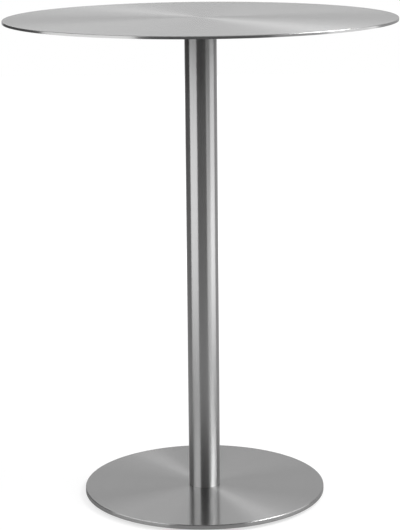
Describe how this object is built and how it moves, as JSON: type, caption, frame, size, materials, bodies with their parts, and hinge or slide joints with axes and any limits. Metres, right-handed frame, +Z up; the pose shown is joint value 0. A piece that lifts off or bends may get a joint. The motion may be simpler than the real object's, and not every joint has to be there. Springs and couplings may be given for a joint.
{
  "type": "bar table",
  "caption": "Round pedestal bar table with a thin brushed-steel top on a plain tube column and a flat weighted disc base that stands on levelling feet.",
  "frame": {"origin": "on the floor under the middle of the column", "axes": "+Z up along the column, the pictured side towards -Y"},
  "size_m": [0.85, 0.85, 1.07],
  "materials": {
    "brushed_top": "stainless steel brushed in circles",
    "brushed_column": "stainless steel tube brushed around its axis",
    "brushed_base": "stainless steel brushed in circles",
    "backing_board": "dark sealed fibre board",
    "black_coating": "fine textured black powder coat on steel",
    "zinc_fixings": "bright zinc plate",
    "black_screws": "black oxide steel",
    "pad_nylon": "black moulded nylon"
  },
  "bodies": {
    "table": {"top_skin": "brushed_top", "top_board": "backing_board", "top_studs": "zinc_fixings", "stud_washers": "zinc_fixings", "stud_nuts": "zinc_fixings", "spider_hub": "black_coating", "spider_arm_right": "black_coating", "spider_arm_back": "black_coating", "spider_arm_left": "black_coating", "spider_arm_front": "black_coating", "tie_rod": "zinc_fixings", "tie_rod_washer": "zinc_fixings", "tie_rod_lock_washer": "zinc_fixings", "tie_rod_nut": "zinc_fixings", "column_tube": "brushed_column", "column_boss": "black_coating", "boss_screws": "black_screws", "base_cover": "brushed_base", "base_ballast": "black_coating"},
    "foot_pad_back_right": {"foot_pad_back_right": "pad_nylon"},
    "foot_screw_back_right": {"foot_screw_back_right": "zinc_fixings"},
    "foot_pad_back_left": {"foot_pad_back_left": "pad_nylon"},
    "foot_screw_back_left": {"foot_screw_back_left": "zinc_fixings"},
    "foot_pad_front_left": {"foot_pad_front_left": "pad_nylon"},
    "foot_screw_front_left": {"foot_screw_front_left": "zinc_fixings"},
    "foot_pad_front_right": {"foot_pad_front_right": "pad_nylon"},
    "foot_screw_front_right": {"foot_screw_front_right": "zinc_fixings"}
  },
  "joints": [
    {"name": "foot_back_right_height", "type": "slide", "parent": "table", "child": "foot_pad_back_right", "axis": [0, 0, -1], "range_m": [0, 0.003]},
    {"name": "foot_back_right_turn", "type": "hinge", "parent": "foot_pad_back_right", "child": "foot_screw_back_right", "pos_m": [0.1591, 0.1591, 0.0039], "axis": [0, 0, -1], "range_deg": [0, 720]},
    {"name": "foot_back_left_height", "type": "slide", "parent": "table", "child": "foot_pad_back_left", "axis": [0, 0, -1], "range_m": [0, 0.003]},
    {"name": "foot_back_left_turn", "type": "hinge", "parent": "foot_pad_back_left", "child": "foot_screw_back_left", "pos_m": [-0.1591, 0.1591, 0.0039], "axis": [0, 0, -1], "range_deg": [0, 720]},
    {"name": "foot_front_left_height", "type": "slide", "parent": "table", "child": "foot_pad_front_left", "axis": [0, 0, -1], "range_m": [0, 0.003]},
    {"name": "foot_front_left_turn", "type": "hinge", "parent": "foot_pad_front_left", "child": "foot_screw_front_left", "pos_m": [-0.1591, -0.1591, 0.0039], "axis": [0, 0, -1], "range_deg": [0, 720]},
    {"name": "foot_front_right_height", "type": "slide", "parent": "table", "child": "foot_pad_front_right", "axis": [0, 0, -1], "range_m": [0, 0.003]},
    {"name": "foot_front_right_turn", "type": "hinge", "parent": "foot_pad_front_right", "child": "foot_screw_front_right", "pos_m": [0.1591, -0.1591, 0.0039], "axis": [0, 0, -1], "range_deg": [0, 720]}
  ],
  "couplings": [
    {"joint": "foot_back_right_height", "follows": "foot_back_right_turn", "m_per_rad": 0.00023873},
    {"joint": "foot_back_left_height", "follows": "foot_back_left_turn", "m_per_rad": 0.00023873},
    {"joint": "foot_front_left_height", "follows": "foot_front_left_turn", "m_per_rad": 0.00023873},
    {"joint": "foot_front_right_height", "follows": "foot_front_right_turn", "m_per_rad": 0.00023873}
  ]
}
